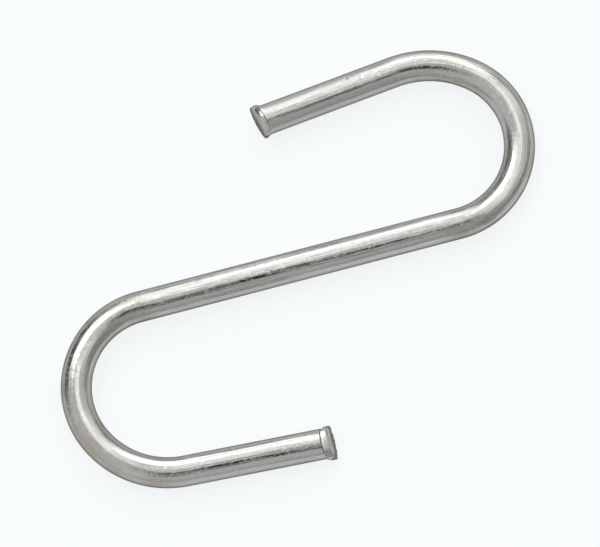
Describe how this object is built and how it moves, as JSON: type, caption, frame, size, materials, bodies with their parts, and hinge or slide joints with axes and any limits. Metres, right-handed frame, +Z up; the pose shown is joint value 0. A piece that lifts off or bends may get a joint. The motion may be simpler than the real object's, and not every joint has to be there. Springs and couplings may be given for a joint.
{
  "type": "s hook",
  "caption": "Bright steel wire bent into an S, with an open hook at each end of a straight shank and sheared wire tips.",
  "frame": {"origin": "middle of the room the hook takes up, on the surface it lies on", "axes": "+X along the shank towards the upper hook, +Y towards the upper hook's free leg, +Z up out of the surface the hook lies on"},
  "size_m": [0.0254, 0.0184, 0.0015],
  "materials": {
    "bright_wire": "bright drawn wire"
  },
  "bodies": {
    "root": {"s_hook": "bright_wire"}
  },
  "joints": []
}
